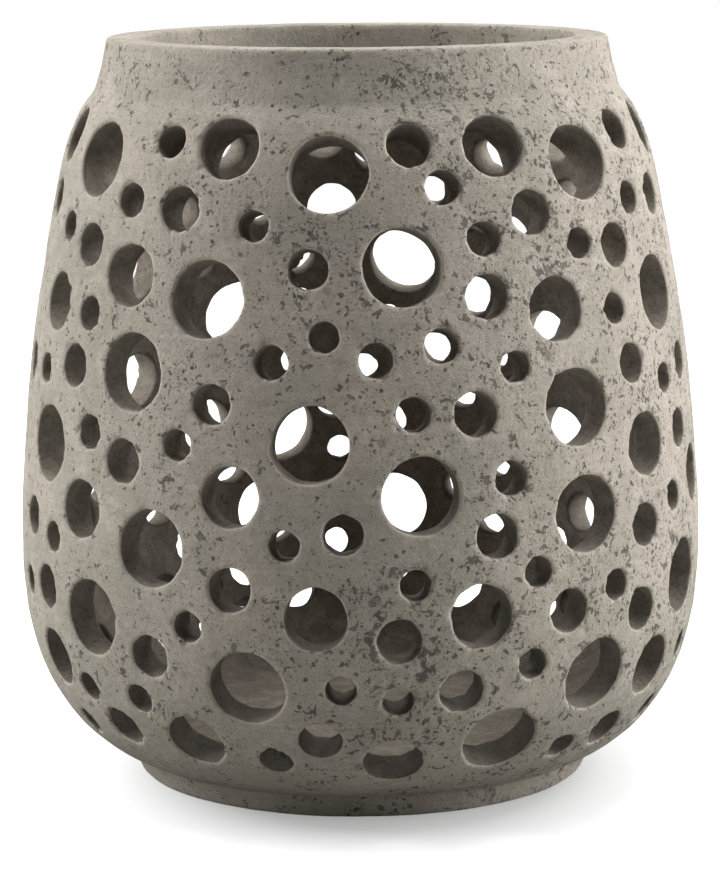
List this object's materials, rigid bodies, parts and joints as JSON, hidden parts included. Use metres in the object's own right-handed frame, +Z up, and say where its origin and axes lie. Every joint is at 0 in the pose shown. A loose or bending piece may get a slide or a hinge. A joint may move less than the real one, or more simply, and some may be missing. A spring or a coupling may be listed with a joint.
{
  "type": "stone lantern",
  "caption": "Round-bellied pierced stone candle lantern with an open collar, a short foot ring and a hollow inside for a candle.",
  "frame": {"origin": "on the lantern's axis, on the surface that its pads stand on", "axes": "+Z up along the lantern's axis, -Y towards the side that the picture shows"},
  "size_m": [0.25, 0.2498, 0.2704],
  "materials": {
    "cast_stone": "matt, pitted",
    "felt": "matt"
  },
  "bodies": {
    "root": {"lantern_body": "cast_stone", "foot_pad_1": "felt", "foot_pad_2": "felt", "foot_pad_3": "felt", "foot_pad_4": "felt"}
  },
  "joints": []
}
